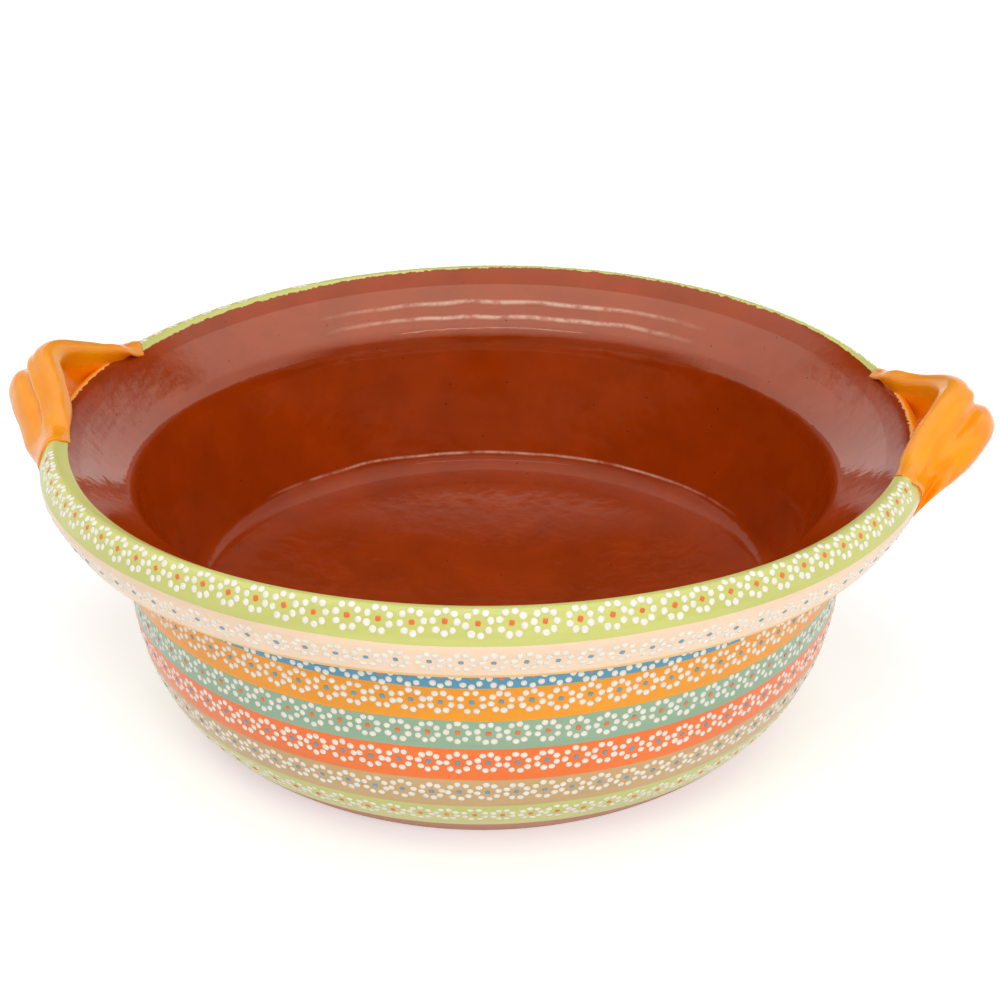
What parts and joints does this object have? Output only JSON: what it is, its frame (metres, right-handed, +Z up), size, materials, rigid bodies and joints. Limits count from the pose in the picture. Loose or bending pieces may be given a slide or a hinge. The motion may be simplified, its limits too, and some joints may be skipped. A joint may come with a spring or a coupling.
{
  "type": "clay cazuela",
  "caption": "Low round glazed clay cooking bowl with a heavy flared rim and a pair of fluted strap handles, painted outside with bands of dotted flowers.",
  "frame": {"origin": "middle of the flat underside, on the surface that the bowl stands on", "axes": "+Z up out of the bowl's mouth; +X towards the right handle, with the left handle on -X; +Y towards the back of the bowl as pictured"},
  "size_m": [0.3976, 0.3478, 0.1421],
  "materials": {
    "body_glaze": "clear glossy glaze over red clay, chocolate brown inside, painted bands of dotted flowers outside",
    "collar_glaze": "clear glossy glaze, lime green lip and cream underside with dotted flowers, brown flare inside",
    "handle_glaze": "clear glossy glaze over yellow orange slip",
    "bare_clay": "bare red clay, matt, at the foot and underside",
    "white_dots": "raised dots of white slip under the glaze",
    "flower_centres": "raised dabs of red orange or blue grey slip under the glaze"
  },
  "bodies": {
    "root": {"bowl_body": "body_glaze", "rim_collar": "collar_glaze", "left_handle": "handle_glaze", "right_handle": "handle_glaze"}
  },
  "joints": []
}
